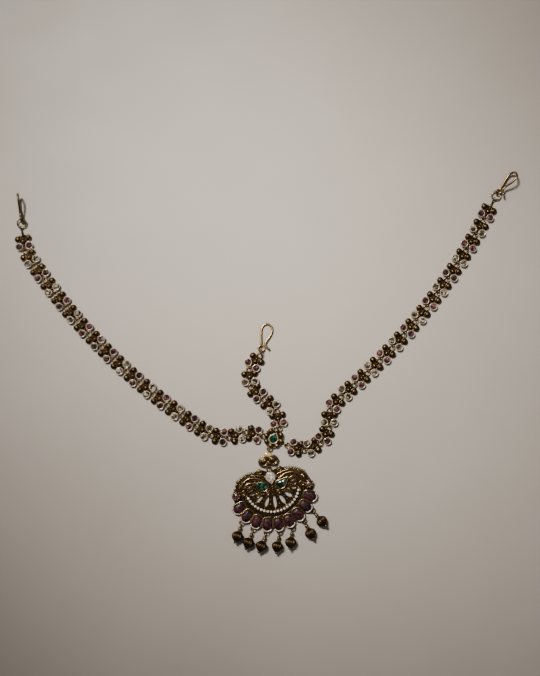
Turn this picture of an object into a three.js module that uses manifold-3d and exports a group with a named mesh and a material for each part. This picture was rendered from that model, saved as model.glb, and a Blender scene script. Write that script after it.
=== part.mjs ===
// Matha patti: a forehead jewel of three strands of flower links, a junction flower,
// a bail and a fan pendant with drops, lying on a table.
// Millimetres, +Z up. The origin lies on the table under the middle of the junction flower,
// +X runs to the right and +Y towards the middle hook.
import * as THREE from 'three';
import { mergeVertices } from 'three/addons/utils/BufferGeometryUtils.js';
import loadManifold from 'manifold-3d';

const wasm = await loadManifold();
wasm.setup();
const { Manifold } = wasm;

// Wire and eyes
const WIRE = 0.55;                 // thickness of the small rings' wire
const RING_RADIUS = 1.175;         // from a small ring's middle to the middle of its wire
const RING_HEIGHT = 1.15;          // height of the flat rings above the table
const RING_SIDES = 10;
const WIRE_SIDES = 5;
const FLAT_EYE_RADIUS = 1.5;       // outside of a flat eye, which keeps a ring's place
const FLAT_EYE_HOLE = 1.8;         // clear width of a flat eye
const EYE_HOLE = 1.3;              // clear width of an upright eye
const EYE_WALL = 0.5;              // thickness of an upright eye's bars

const SLIVER = 0.02;                // edges shorter than this are closed up

// Flower link, with +X towards the junction and the origin under its middle
const PITCH = 8.4;                 // from one ring's middle to the next along a strand
const REACH = 5.15;                // from a flower's middle to the ring it hangs on
const STONE_TIP = [3.2, 0.5];      // the point of a front stone, beside the front eye
const STONE_LENGTH = 3.7;
const STONE_RADIUS = 1.6;          // of a front stone's round end
const STONE_LEAN = 105;            // direction from the point to the round end, degrees
const STONE_TOP = 2.4;
const TABLE_SIZE = 0.6;            // a stone's table against its girdle
const PETAL_AT = [-0.95, 2.6];
const PETAL_RADIUS = 1.25;
const PETAL_TOP = 1.9;
const PETAL_SIDES = 5;
const SPINE_ENDS = [-2.1, 3.15];
const SPINE_WIDTH = 3.3;
const SPINE_HEIGHT = 1.3;

// Junction flower
const JUNCTION_PETALS = 8;
const JUNCTION_PETAL_CIRCLE = 3.75;
const JUNCTION_PETAL_RADIUS = 1.15;
const JUNCTION_RING_AT = 5.35;     // from its middle to the middle of each fixed ring
const JUNCTION_STONE_LEAN = 64;    // where the green drop's point looks, degrees
const LOOSE_RING_AT = 7.1;         // the right strand's extra ring, from the junction's middle

// Where each strand leaves the junction, and its bends: how many links, the heading of
// the first of them in degrees, and how much each next link turns
const STRANDS = [
  {
    name: 'left_flower', digits: 2, leaves: 168, from: JUNCTION_RING_AT,
    bends: [
      { links: 1, heading: 168, turn: 0 },
      { links: 1, heading: 198, turn: 0 },
      { links: 1, heading: 172, turn: 0 },
      { links: 15, heading: 147, turn: -1.65 },
      { links: 1, heading: 101, turn: 0 },
    ],
  },
  {
    name: 'right_flower', digits: 2, leaves: -28, from: LOOSE_RING_AT,
    bends: [
      { links: 1, heading: -16, turn: 0 },
      { links: 1, heading: 23, turn: 0 },
      { links: 1, heading: 61, turn: 0 },
      { links: 1, heading: 88, turn: 0 },
      { links: 1, heading: 50, turn: 0 },
      { links: 14, heading: 41, turn: 1.65 },
    ],
  },
  {
    name: 'centre_flower', digits: 1, leaves: 60, from: JUNCTION_RING_AT,
    bends: [
      { links: 1, heading: 99, turn: 0 },
      { links: 1, heading: 138, turn: 0 },
      { links: 1, heading: 137, turn: 0 },
      { links: 1, heading: 95, turn: 0 },
      { links: 1, heading: 53, turn: 0 },
    ],
  },
];

// Hooks: a wire bent to a long S with an eye, and the ring that joins it to its strand
const HOOK_WIRE = 1.1;
const HOOK_EYE_RADIUS = 1.4;
const HOOK_EYE_WIRE = 0.85;
const HOOK_TOP = 11.5;              // from the eye's middle to the bend's top
const HOOK_SHAPE = [[0, 1.2], [0, 8.3], [1.2, 10.9], [3.2, HOOK_TOP], [5.2, 9.6], [4.6, 6.6],
  [2.2, 2.9], [2.3, 0.9], [3.7, -0.5]];
const HOOK_STEPS = 11;
const BIG_RING_RADIUS = 2.1;
const BIG_RING_WIRE = 0.7;
const END_EYE_OUT = 6.3;           // how far an end flower's rear eye stands from its middle
const TALL_RING_RADIUS = 1.75;      // the upright ring of the middle hook
const TALL_RING_REST = 0.5;         // from its middle to each wire that it holds
const MIDDLE_EYE_HEIGHT = 1.3;
const LEFT_HOOK = { roll: 80, heading: 98, ringHeading: 80 };
const RIGHT_HOOK = { roll: 50, heading: 58, ringHeading: 60 };
const CENTRE_HOOK = { roll: 0, heading: 90 };

// Pendant, about the middle of its arcs, with +Y towards the bail
const PENDANT_AT = [-1.0, -21.65];
const PENDANT_TURN = 9.8;
const PLATE = 1.1;                 // thickness of the pierced plate
const RIM = 22.2;                  // from the middle of the arcs to the petals' outer ends
const PETALS = 9;
const PETAL_STEP = 15.9;           // degrees from one ruby petal to the next
const BEAD_ROW = 12.9;             // radius of the bead row
const BEAD_ROW_HALF = 68;          // half its sweep, degrees
const BEAD_SIZE = 1.3;
const NECK_RING_AT = 7.2;
const DROP_RING_OUT = 0.55;        // a drop's ring stands this far past the petal's end
const DROP_RING_HEIGHT = 1.3;

// Bail, in the pendant's frame
const BAIL_AT = [0.3, 11.9];
const BAIL_HEADING = 249;          // from the junction to the bail, degrees

// Drops, one for each of the middle seven petals, and where each one points, degrees
const DROP_HEADINGS = [-109, -112, -112, -101, -98, -62, -49];
const DROP_BEAD = 2.65;
const DROP_BEAD_OUT = 5.7;         // from the ring's wire to the middle of the bead
const DROP_END = 9.3;

const radians = THREE.MathUtils.degToRad;

/** Point at a distance and a direction in degrees. */
function polar(distance, degrees) {
  return new THREE.Vector2(distance, 0).rotateAround(new THREE.Vector2(), radians(degrees));
}

/** A closed three.js geometry as a body that can be joined and cut. */
function solid(geometry) {
  const plain = new THREE.BufferGeometry();
  plain.setAttribute('position', geometry.getAttribute('position').clone());
  plain.setIndex(geometry.index ? geometry.index.clone() : null);
  const merged = mergeVertices(plain, 1e-5);
  const corners = [];
  for (let i = 0; i < merged.index.count; i += 3) {
    const [a, b, c] = [0, 1, 2].map((k) => merged.index.getX(i + k));
    if (a !== b && b !== c && c !== a) corners.push(a, b, c);
  }
  return new Manifold(new wasm.Mesh({
    numProp: 3,
    vertProperties: new Float32Array(merged.getAttribute('position').array),
    triVerts: new Uint32Array(corners),
  }));
}

/** One body from many geometries, without the slivers where they meet. */
function joined(geometries) {
  return Manifold.union(geometries.map(solid)).asOriginal().simplify(SLIVER);
}

/** A named mesh from a body. */
function piece(name, body, material) {
  const result = body.getMesh();
  const geometry = new THREE.BufferGeometry();
  geometry.setAttribute('position', new THREE.BufferAttribute(result.vertProperties, 3));
  geometry.setIndex(new THREE.BufferAttribute(result.triVerts, 1));
  geometry.computeVertexNormals();
  const mesh = new THREE.Mesh(geometry, material);
  mesh.name = name;
  return mesh;
}

/** Points of a regular outline. */
function round(radius, sides, x = 0, y = 0) {
  return Array.from({ length: sides }, (_, i) => {
    const p = polar(radius, (360 / sides) * (i + 0.5));
    return new THREE.Vector2(p.x + x, p.y + y);
  });
}

/** Points of a drop outline: its point, then its round end, which lies in the given direction. */
function teardrop(tip, length, radius, direction, sides = 8) {
  const middle = polar(length - radius, direction).add(tip);
  const points = [tip.clone()];
  for (let i = 0; i < sides - 1; i++) {
    const angle = direction - 115 + (230 * i) / (sides - 2);
    points.push(polar(radius, angle).add(middle));
  }
  return points;
}

/** Closed geometry through copies of one outline, each at its own height and size. */
function tiers(outline, levels) {
  const points = THREE.ShapeUtils.isClockWise(outline) ? [...outline].reverse() : outline;
  const middle = new THREE.Vector2();
  points.forEach((p) => middle.addScaledVector(p, 1 / points.length));
  const count = points.length;
  const positions = [];
  for (const { z, size } of levels) {
    for (const p of points) {
      const q = p.clone().sub(middle).multiplyScalar(size).add(middle);
      positions.push(q.x, q.y, z);
    }
  }
  const corners = [];
  for (let row = 0; row + 1 < levels.length; row++) {
    for (let i = 0; i < count; i++) {
      const a = row * count + i;
      const b = row * count + ((i + 1) % count);
      corners.push(a, b, b + count, a, b + count, a + count);
    }
  }
  const top = (levels.length - 1) * count;
  for (const [a, b, c] of THREE.ShapeUtils.triangulateShape(points, [])) {
    corners.push(a, c, b, top + a, top + b, top + c);
  }
  const geometry = new THREE.BufferGeometry();
  geometry.setAttribute('position', new THREE.Float32BufferAttribute(positions, 3));
  geometry.setIndex(corners);
  return geometry;
}

/** A cut stone in its setting: straight girdle, sloped crown and a flat table. */
function stone(outline, girdle, top) {
  return tiers(outline, [{ z: 0, size: 1 }, { z: girdle, size: 1 }, { z: top, size: TABLE_SIZE }]);
}

/** A low dome on straight walls. */
function dome(outline, wall, top) {
  return tiers(outline, [{ z: 0, size: 1 }, { z: wall, size: 1 }, { z: top, size: 0.45 }]);
}

/** A petal or small stone whose facets run from its foot to its flat top. */
function petal(outline, top, size = 0.7) {
  return tiers(outline, [{ z: 0, size: 1 }, { z: top, size }]);
}

/** A flat slab between two heights. */
function slab(outline, low, high, holes = []) {
  const shape = new THREE.Shape(outline);
  shape.holes = holes.map((hole) => new THREE.Path(hole));
  const geometry = new THREE.ExtrudeGeometry(shape, { depth: high - low, bevelEnabled: false });
  return geometry.translate(0, 0, low);
}

/** A ring of wire lying flat. */
function ring(radius, wire, x = 0, y = 0, z = RING_HEIGHT) {
  return new THREE.TorusGeometry(radius, wire / 2, WIRE_SIDES, RING_SIDES).translate(x, y, z);
}

/** A flat eye: an eight-sided lug with a square hole. */
function flatEye(x, y, z = RING_HEIGHT) {
  const half = FLAT_EYE_HOLE / 2;
  const hole = [[-half, -half], [half, -half], [half, half], [-half, half]];
  const holeOutline = hole.map(([hx, hy]) => new THREE.Vector2(hx, hy));
  return slab(round(FLAT_EYE_RADIUS, 8), -WIRE / 2, WIRE / 2, [holeOutline]).translate(x, y, z);
}

/** An upright eye along +X that closes around a ring's wire at the given place. */
function uprightEye(wireAt, height, wall = EYE_WALL, back = wall + 0.1) {
  const half = EYE_HOLE / 2;
  const frame = [[-half - wall, -half - wall], [half + back, -half - wall],
    [half + back, half + wall], [-half - wall, half + wall]];
  const hole = [[-half, -half], [half, -half], [half, half], [-half, half]];
  const toVectors = (list) => list.map(([x, y]) => new THREE.Vector2(x, y));
  const geometry = slab(toVectors(frame), -wall / 2, wall / 2, [toVectors(hole)]);
  return geometry.rotateX(Math.PI / 2).translate(wireAt, 0, height);
}

/** A wire along points on the XY plane. */
function wire(points, thickness, steps) {
  const path = new THREE.CatmullRomCurve3(points.map(([x, y]) => new THREE.Vector3(x, y, 0)));
  const section = new THREE.Shape(round(thickness / 2, WIRE_SIDES));
  return new THREE.ExtrudeGeometry(section, { steps, extrudePath: path });
}

/** The four stones and petals of a flower link, on a spine that joins them. */
function flowerHead() {
  const parts = [];
  for (const side of [1, -1]) {
    const tip = new THREE.Vector2(STONE_TIP[0], STONE_TIP[1] * side);
    const outline = teardrop(tip, STONE_LENGTH, STONE_RADIUS, STONE_LEAN * side);
    parts.push(petal(outline, STONE_TOP, TABLE_SIZE));
    parts.push(petal(round(PETAL_RADIUS, PETAL_SIDES, PETAL_AT[0], PETAL_AT[1] * side), PETAL_TOP));
  }
  const [rear, front] = SPINE_ENDS;
  const spine = new THREE.BoxGeometry(front - rear, SPINE_WIDTH, SPINE_HEIGHT);
  parts.push(spine.translate((front + rear) / 2, 0, SPINE_HEIGHT / 2));
  return parts;
}

/** A flower link: its head, an upright eye at the front, and a flat or long eye at the rear. */
function flower(isLast) {
  const parts = flowerHead();
  parts.push(uprightEye(-(REACH - RING_RADIUS), RING_HEIGHT).rotateZ(Math.PI));
  if (isLast) {
    parts.push(uprightEye(-END_EYE_OUT, RING_HEIGHT, EYE_WALL, 4.3));
  } else {
    parts.push(flatEye(REACH - PITCH, 0));
  }
  return joined(parts);
}

/** The junction flower: a green drop among petals, three flat eyes and one upright eye. */
function junction() {
  const lean = JUNCTION_STONE_LEAN;
  const drop = teardrop(polar(2.9, lean), 5.5, 2.2, lean + 180, 10);
  const parts = [stone(drop, 2.0, 3.0), slab(round(3.7, 8), 0, 1.2)];
  for (let i = 0; i < JUNCTION_PETALS; i++) {
    const at = polar(JUNCTION_PETAL_CIRCLE, (360 / JUNCTION_PETALS) * (i + 0.5));
    parts.push(petal(round(JUNCTION_PETAL_RADIUS, PETAL_SIDES, at.x, at.y), 2.3));
  }
  for (const heading of [STRANDS[0].leaves, STRANDS[2].leaves, BAIL_HEADING]) {
    const at = polar(JUNCTION_RING_AT, heading);
    parts.push(flatEye(at.x, at.y));
  }
  const eye = uprightEye(-(LOOSE_RING_AT - RING_RADIUS), RING_HEIGHT, EYE_WALL, 1.4);
  parts.push(eye.rotateZ(Math.PI + radians(STRANDS[1].leaves)));
  return joined(parts);
}

/** The fan pendant with its stones, ridges and rings, cut through between the scrolls. */
function pendant() {
  const vectors = (list) => list.map(([x, y]) => new THREE.Vector2(x, y));
  const rightSide = [[1.6, 6.4], [4.8, 7.9], [7.4, 6.6], [11, 6.3], [14, 5.0], [16, 3.2], [18, -0.6]];
  const leftSide = rightSide.map(([x, y]) => [-x, y]).reverse();
  const arc = Array.from({ length: 10 }, (_, i) => polar(17, -90 + 81 - (162 * i) / 9));
  const plateOutline = [...vectors(rightSide), ...arc, ...vectors(leftSide)];
  const parts = [slab(plateOutline, 0, PLATE)];

  for (let i = 0; i < PETALS; i++) {
    const angle = (i - (PETALS - 1) / 2) * PETAL_STEP;
    const outline = vectors([[-1.5, -15.6], [-2.3, -18.4], [-2.2, -20.8], [-1.0, -RIM],
      [1.0, -RIM], [2.2, -20.8], [2.3, -18.4], [1.5, -15.6]]);
    parts.push(stone(outline, 1.9, 2.8).rotateZ(radians(angle)));
    const isMiddle = i > 0 && i < PETALS - 1;
    if (isMiddle) {
      const hanger = flatEye(0, -RIM - DROP_RING_OUT, DROP_RING_HEIGHT);
      parts.push(hanger.rotateZ(radians(angle)));
    }
  }

  const rowOutline = [];
  for (const [radius, direction] of [[BEAD_ROW + BEAD_SIZE / 2, 1], [BEAD_ROW - BEAD_SIZE / 2, -1]]) {
    for (let i = 0; i <= 12; i++) {
      rowOutline.push(polar(radius, -90 + direction * BEAD_ROW_HALF * (i / 6 - 1)));
    }
  }
  parts.push(slab(rowOutline, 0.5, 2.2));

  parts.push(stone(teardrop(new THREE.Vector2(0, 0.2), 5.6, 2.25, 90, 10), 2.2, 3.2));
  parts.push(flatEye(0, NECK_RING_AT));
  for (const side of [1, -1]) {
    const paisley = [[1.6, -0.6], [2.6, -2.4], [4.4, -2.9], [6.2, -1.9], [7.4, 0.2], [8.4, 2.4],
      [6.0, 1.9], [3.6, 1.7], [2.0, 0.9]];
    parts.push(stone(vectors(paisley.map(([x, y]) => [x * side, y])), 2.1, 3.0));
    parts.push(dome(round(1.7, 8, 10.4 * side, -0.6), 1.8, 2.5));
    parts.push(dome(round(2.25, 10, 17.4 * side, -2.7), 2.0, 2.9));
    parts.push(dome(round(1.45, 8, 4.8 * side, 6.6), 1.7, 2.4));
    const brow = [[3.4, 2.4], [6.8, 4.2], [10.4, 4.6], [14.4, 2.2], [13.6, 1.2], [10.2, 3.5],
      [7.2, 3.2], [4.0, 1.6]];
    parts.push(slab(vectors(brow.map(([x, y]) => [x * side, y])), 0.5, 2.0));
    const comb = [];
    for (let i = 0; i <= 6; i++) {
      const along = 7.4 + 1.25 * i;
      const top = 7.0 - 0.055 * (along - 8) ** 2;
      comb.push([along, top], [along + 0.6, top - 0.75]);
    }
    comb.push([15.6, 2.6], [11, 5.2], [7.4, 5.6]);
    parts.push(slab(vectors(comb.map(([x, y]) => [x * side, y])), 0.4, 1.8));
  }

  // Openings between the scrolls, as a half flower of loops under the green stones
  const gaps = [];
  for (const { angle, near, far, half } of [
    { angle: 0, near: 4.6, far: 11.3, half: 1.05 },
    { angle: 26, near: 5.4, far: 11.2, half: 1.1 },
    { angle: 50, near: 6.4, far: 11.4, half: 1.15 },
    { angle: 72, near: 8.2, far: 11.6, half: 0.9 },
  ]) {
    const loop = vectors([[0, -near], [-half, -near - 1.8], [-half, -far + 1.0], [0, -far],
      [half, -far + 1.0], [half, -near - 1.8]]);
    for (const side of angle === 0 ? [1] : [1, -1]) {
      gaps.push(slab(loop, -1, 5).rotateZ(radians(angle * side)));
    }
  }
  return joined(parts).subtract(joined(gaps)).asOriginal().simplify(SLIVER);
}

/** The bail: two ribbed lobes and a bud, a tube on top, an eye for each neighbour. */
function bail() {
  const vectors = (list) => list.map(([x, y]) => new THREE.Vector2(x, y));
  const lobe = [[0, -1.7], [1.4, -3.0], [3.2, -3.2], [4.7, -2.1], [4.9, -0.4], [3.8, 1.2], [2.0, 1.7],
    [0, 1.2]];
  const parts = [];
  for (const side of [1, -1]) {
    const outline = vectors(lobe.map(([x, y]) => [(x - 0.2) * side, y]));
    parts.push(tiers(outline, [{ z: 0, size: 1 }, { z: 1.6, size: 1 }, { z: 2.9, size: 0.7 },
      { z: 3.4, size: 0.3 }]));
    parts.push(dome(round(0.75, 6, 1.6 * side, -0.3), 3.3, 3.8));
  }
  parts.push(dome(round(0.75, 6, 0, -1.4), 3.3, 3.8));
  const lower = BAIL_AT[1] - NECK_RING_AT - RING_RADIUS;
  const eye = uprightEye(-lower, RING_HEIGHT, EYE_WALL, 1.4);
  parts.push(eye.rotateZ(Math.PI / 2).translate(-BAIL_AT[0], 0, 0));

  // The tube leans towards the junction, and its eye closes on the junction's ring
  const away = radians(BAIL_HEADING - PENDANT_TURN);
  const junctionAt = new THREE.Vector2(-PENDANT_AT[0], -PENDANT_AT[1]);
  junctionAt.rotateAround(new THREE.Vector2(), -radians(PENDANT_TURN));
  const wireAt = junctionAt.add(polar(JUNCTION_RING_AT + RING_RADIUS, BAIL_HEADING - PENDANT_TURN));
  wireAt.sub(new THREE.Vector2(...BAIL_AT));
  const top = uprightEye(0, RING_HEIGHT, EYE_WALL, 1.6).rotateZ(away);
  parts.push(top.translate(wireAt.x, wireAt.y, 0));
  const tube = new THREE.CylinderGeometry(1.2, 1.2, 3.1, 10).rotateX(Math.PI / 2).rotateY(Math.PI / 2);
  tube.rotateX(-Math.PI / 2).rotateZ(away + Math.PI / 2);
  const seat = polar(1.65, BAIL_HEADING - PENDANT_TURN).add(wireAt);
  parts.push(tube.translate(seat.x, seat.y, 1.75));
  return joined(parts);
}

/** A drop with its eye, cap and bead along +X, from the ring's wire at the origin. */
function drop() {
  const profile = [[0, 0.8], [0.9, 1.8], [0.55, 2.9], [DROP_BEAD - 0.6, 4.0],
    [DROP_BEAD, DROP_BEAD_OUT], [1.8, 7.5], [0, DROP_END]].map(([r, x]) => new THREE.Vector2(r, x));
  const body = new THREE.LatheGeometry(profile, RING_SIDES).rotateZ(-Math.PI / 2);
  return joined([body, uprightEye(0, 0, 0.35, 0.6)]);
}

/** A wire hook in its own plane, its eye at the origin and its shank along +Y. */
function hook() {
  return joined([wire(HOOK_SHAPE, HOOK_WIRE, HOOK_STEPS),
    new THREE.TorusGeometry(HOOK_EYE_RADIUS, HOOK_EYE_WIRE / 2, WIRE_SIDES, RING_SIDES)]);
}

/** A material of the jewel. */
function finish(color, metalness, roughness) {
  return new THREE.MeshStandardMaterial({ color, metalness, roughness });
}

const gold = () => finish(0x8a6c3c, 1.0, 0.38);
const pinkFlower = () => finish(0x8a4a52, 0.7, 0.35);
const whiteFlower = () => finish(0xb5a98c, 0.7, 0.3);

const jewel = new THREE.Group();

/** Put a piece on the table plane: where it lies and which way it turns, in degrees. */
function place(mesh, at, turn, parent = jewel) {
  mesh.position.set(at.x, at.y, 0);
  mesh.rotation.z = radians(turn);
  parent.add(mesh);
}

// The strands
const linkBody = flower(false);
const lastBody = flower(true);
const ends = {};
for (const strand of STRANDS) {
  const pivot = polar(strand.from, strand.leaves);
  const total = strand.bends.reduce((sum, bend) => sum + bend.links, 0);
  let count = 0;
  for (const bend of strand.bends) {
    for (let i = 0; i < bend.links; i++) {
      count += 1;
      const heading = bend.heading + i * bend.turn;
      const middle = polar(REACH, heading).add(pivot);
      const isLast = count === total && strand.name !== 'centre_flower';
      const name = `${strand.name}_${String(count).padStart(strand.digits, '0')}`;
      const material = count % 2 ? pinkFlower() : whiteFlower();
      place(piece(name, isLast ? lastBody : linkBody, material), middle, heading + 180);
      pivot.add(polar(PITCH, heading));
      ends[strand.name] = { middle, heading, pivot };
    }
  }
}

// The junction and the right strand's extra ring
place(piece('junction_flower', junction(), gold()), new THREE.Vector2(), 0);
const looseRing = piece('junction_ring', solid(ring(RING_RADIUS, WIRE)), gold());
place(looseRing, polar(LOOSE_RING_AT, STRANDS[1].leaves), 0);

// The side hooks: a flat ring in the end flower's eye, and an upright hook in the ring
function sideHook(side, end, { roll, heading, ringHeading }) {
  const ringSide = polar(END_EYE_OUT, end.heading).add(end.middle);
  const ringMiddle = polar(BIG_RING_RADIUS, ringHeading).add(ringSide);
  const bigRing = solid(ring(BIG_RING_RADIUS, BIG_RING_WIRE, 0, 0, 0));
  const ringMesh = piece(`${side}_ring`, bigRing, gold());
  const eyeHeight = HOOK_EYE_RADIUS * Math.sin(radians(roll)) + HOOK_EYE_WIRE / 2;
  const rise = Math.asin((eyeHeight - RING_HEIGHT) / (2 * BIG_RING_RADIUS));
  ringMesh.position.set(ringMiddle.x, ringMiddle.y, (eyeHeight + RING_HEIGHT) / 2);
  ringMesh.rotation.set(0, -rise, radians(ringHeading), 'ZYX');
  jewel.add(ringMesh);
  const eye = polar(BIG_RING_RADIUS, heading).add(ringMiddle);
  const hookMesh = piece(`${side}_hook`, hook(), gold());
  hookMesh.position.set(eye.x, eye.y, eyeHeight);
  hookMesh.rotation.set(0, -radians(roll), radians(heading - 90), 'ZYX');
  jewel.add(hookMesh);
}
sideHook('left', ends.left_flower, LEFT_HOOK);
sideHook('right', ends.right_flower, RIGHT_HOOK);

// The middle hook lies flat, so its ring stands up between the flower's ring and the hook's eye
function middleHook(end, { heading }) {
  const wireAt = polar(RING_RADIUS, end.heading).add(end.pivot);
  const upright = solid(new THREE.TorusGeometry(TALL_RING_RADIUS, WIRE / 2, WIRE_SIDES, RING_SIDES));
  const ringMesh = piece('centre_ring', upright, gold());
  const ringMiddle = polar(TALL_RING_REST, heading).add(wireAt);
  ringMesh.position.set(ringMiddle.x, ringMiddle.y, TALL_RING_RADIUS + WIRE / 2);
  ringMesh.rotation.set(Math.PI / 2, 0, radians(heading), 'ZYX');
  jewel.add(ringMesh);
  const eye = polar(2 * TALL_RING_REST + HOOK_EYE_RADIUS, heading).add(wireAt);
  const hookMesh = piece('centre_hook', hook(), gold());
  hookMesh.position.set(eye.x, eye.y, MIDDLE_EYE_HEIGHT);
  const dip = Math.asin((MIDDLE_EYE_HEIGHT - HOOK_WIRE / 2) / HOOK_TOP);
  hookMesh.rotation.set(-dip, 0, radians(heading - 90), 'ZYX');
  jewel.add(hookMesh);
}
middleHook(ends.centre_flower, CENTRE_HOOK);

// The pendant, its bail and its drops
const fan = new THREE.Group();
fan.position.set(PENDANT_AT[0], PENDANT_AT[1], 0);
fan.rotation.z = radians(PENDANT_TURN);
jewel.add(fan);
fan.add(piece('pendant', pendant(), finish(0x6f4a44, 0.8, 0.38)));
place(piece('bail', bail(), gold()), new THREE.Vector2(...BAIL_AT), 0, fan);
const dropBody = drop();
const pitch = Math.asin((DROP_BEAD - DROP_RING_HEIGHT) / DROP_BEAD_OUT);
DROP_HEADINGS.forEach((heading, i) => {
  const radial = -90 + (i + 1 - (PETALS - 1) / 2) * PETAL_STEP;
  const turn = heading - PENDANT_TURN;
  const at = polar(RIM + DROP_RING_OUT, radial).add(polar(RING_RADIUS, turn));
  const mesh = piece(`drop_${i + 1}`, dropBody, gold());
  mesh.position.set(at.x, at.y, DROP_RING_HEIGHT);
  mesh.rotation.set(0, -pitch, radians(turn), 'ZYX');
  fan.add(mesh);
});

export default jewel;
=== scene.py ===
"""Matha patti dressed for its picture: a forehead jewel lying on a pale table.

Three strands of flower links meet at a junction flower, a bail hangs a fan pendant with seven drops
from it, and three wire hooks end the strands. Sizes are millimetres in each piece's own frame, and
the finished pieces are in metres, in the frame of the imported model.
"""

from __future__ import annotations

import logging
import math
from dataclasses import dataclass, field
from enum import Enum

import bpy
from mathutils import Matrix, Vector
from mathutils.geometry import tessellate_polygon

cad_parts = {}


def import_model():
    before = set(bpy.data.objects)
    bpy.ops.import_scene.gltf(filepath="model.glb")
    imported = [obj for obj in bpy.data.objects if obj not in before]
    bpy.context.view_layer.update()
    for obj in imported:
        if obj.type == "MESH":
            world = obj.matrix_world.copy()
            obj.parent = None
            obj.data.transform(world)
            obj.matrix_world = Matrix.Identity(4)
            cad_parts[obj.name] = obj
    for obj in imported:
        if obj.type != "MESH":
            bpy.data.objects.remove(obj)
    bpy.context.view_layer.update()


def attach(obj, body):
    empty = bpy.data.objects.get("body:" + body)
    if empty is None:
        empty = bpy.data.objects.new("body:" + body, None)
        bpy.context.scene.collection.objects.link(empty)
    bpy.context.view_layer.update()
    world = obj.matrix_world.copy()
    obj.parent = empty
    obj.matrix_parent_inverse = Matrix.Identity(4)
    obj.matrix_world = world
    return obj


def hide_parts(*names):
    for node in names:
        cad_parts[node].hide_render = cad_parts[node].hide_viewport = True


log = logging.getLogger("matha_patti")

MM = 0.001
FRAME_WIDTH, FRAME_HEIGHT = 540, 676

# Sizes that the links, the junction, the bail and the pendant share, in millimetres
RING_RADIUS = 1.175
RING_HEIGHT = 1.15
RING_WIRE = 0.55
EYE_RADIUS = 0.9
EYE_WIRE = 0.5
END_EYE_OUT = 6.3
JUNCTION_RING_AT = 5.35
LOOSE_RING_AT = 7.1
RING_STEPS = 24

Colour = tuple[float, float, float]
Outline = list[Vector]
Shine = tuple[float, float]

# How bright the gold is painted, from the foot of a form to its top: patina and rubbed wear, with painted
# shade at the foot and a painted highlight at the top; 0 is dark patina in painted shade, 1 is polished gold
# with a painted highlight
HOLLOW: Shine = (0.0, 0.12)
CAST: Shine = (0.0, 0.5)
RAISED: Shine = (0.05, 0.75)
RIM: Shine = (0.15, 1.0)
POLISHED_AND_HIGHLIT: Shine = (0.4, 1.0)


class Finish(Enum):
    """The finishes that faces of a piece can have, in the order of its material slots."""

    GOLD = 0
    RUBY = 1
    PINK = 2
    CLEAR = 3
    GREEN = 4
    PEARL_AND_HIGHLIGHT = 5
    BRIGHT = 6
    CRYSTAL = 7
    WORN_AND_HIGHLIT = 8


class Slot(Enum):
    """The record's material slots."""

    GOLD = "antique_gold"
    RUBY_LINKS = "ruby_links"
    CLEAR_LINKS = "clear_links"
    GREEN_SETTING = "green_setting"
    RUBY_FAN = "ruby_fan"


def polar(distance: float, degrees: float) -> Vector:
    """Point on the table plane at a distance and a direction.

    Args:
        distance: How far from the origin.
        degrees: Direction, counted from +X towards +Y.

    Returns:
        The point, at height zero.
    """
    angle = math.radians(degrees)
    return Vector((distance * math.cos(angle), distance * math.sin(angle), 0.0))


def turned(degrees: float, axis: str = "Z") -> Matrix:
    """Rotation about one axis.

    Args:
        degrees: Angle of the turn.
        axis: X, Y or Z.

    Returns:
        The 4x4 matrix.
    """
    return Matrix.Rotation(math.radians(degrees), 4, axis)


def flat(points: list[tuple[float, float]], side: int = 1, z: float = 0.0) -> Outline:
    """Points of a drawing as vectors, mirrored where side is -1.

    Args:
        points: Pairs of x and y.
        side: 1 for the right side, -1 for its mirror image.
        z: Height of the points.

    Returns:
        The points, in the same order.
    """
    return [Vector((x * side, y, z)) for x, y in points]


def circle(radius: float, x: float = 0.0, y: float = 0.0, steps: int = 24) -> Outline:
    """A round outline.

    Args:
        radius: Its radius.
        x: Its middle.
        y: Its middle.
        steps: How many points it has.

    Returns:
        The outline, counterclockwise.
    """
    middle = Vector((x, y, 0.0))
    return [middle + polar(radius, 360.0 * i / steps) for i in range(steps)]


def teardrop(tip: Vector, length: float, radius: float, direction: float, steps: int = 20) -> Outline:
    """A drop outline with straight flanks that run into its round end.

    Args:
        tip: The point of the drop.
        length: From the point to the far side of the round end.
        radius: Radius of the round end.
        direction: From the point to the round end, degrees.
        steps: How many points the round end has.

    Returns:
        The outline, counterclockwise.
    """
    reach = length - radius
    middle = tip + polar(reach, direction)
    half = 180.0 - math.degrees(math.acos(min(radius / reach, 0.98)))
    outline = [tip.copy()]
    outline.append(tip.lerp(middle + polar(radius, direction - half), 0.5))
    for i in range(steps):
        outline.append(middle + polar(radius, direction - half + 2.0 * half * i / (steps - 1)))
    outline.append(tip.lerp(middle + polar(radius, direction + half), 0.5))
    return outline


def curve(points: Outline, steps: int, closed: bool = False) -> Outline:
    """A smooth line through points.

    Args:
        points: The points that it passes.
        steps: How many stretches each gap between two points gets.
        closed: Whether it returns to its start.

    Returns:
        The points of the smooth line.
    """
    count = len(points)
    line = []
    for i in range(count if closed else count - 1):
        if closed:
            a, b, c, d = (points[(i + k) % count] for k in (-1, 0, 1, 2))
        else:
            a, b, c, d = (points[min(max(i + k, 0), count - 1)] for k in (-1, 0, 1, 2))
        for step in range(steps):
            t = step / steps
            line.append(
                0.5 * (2.0 * b + (c - a) * t + (2.0 * a - 5.0 * b + 4.0 * c - d) * t**2
                       + (3.0 * b - a - 3.0 * c + d) * t**3)
            )
    if not closed:
        line.append(points[-1].copy())
    return line


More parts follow.
